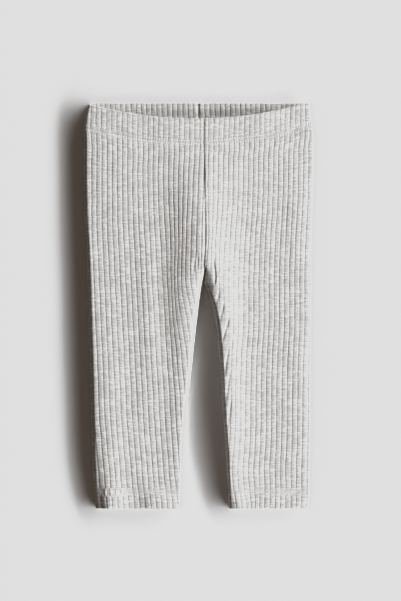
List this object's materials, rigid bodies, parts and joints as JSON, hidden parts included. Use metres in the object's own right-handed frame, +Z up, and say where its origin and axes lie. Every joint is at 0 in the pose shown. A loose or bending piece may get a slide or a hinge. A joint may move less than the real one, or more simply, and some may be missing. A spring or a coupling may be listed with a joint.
{
  "type": "baby's ribbed leggings, laid flat",
  "caption": "Baby's leggings in grey heather rib jersey, laid flat: one-piece legs, turned-in elastic waist casing, turned hems, centre seam.",
  "frame": {"origin": "centre of the garment's box, on the flat surface that it lies on", "axes": "+Y from the hems to the waist, +X to the wearer's left, +Z up from the surface through the back and then the front"},
  "size_m": [0.2084, 0.3636, 0.0087],
  "materials": {
    "leg_right_rib": "rib-knit heather jersey, matt",
    "leg_left_rib": "rib-knit heather jersey, matt",
    "waistband_rib": "rib-knit heather jersey, doubled over elastic, matt",
    "hem_rib": "rib-knit heather jersey, doubled, matt"
  },
  "bodies": {
    "root": {"leg_right": "leg_right_rib", "leg_left": "leg_left_rib", "waistband_right": "waistband_rib", "waistband_left": "waistband_rib", "hem_right": "hem_rib", "hem_left": "hem_rib"}
  },
  "joints": []
}
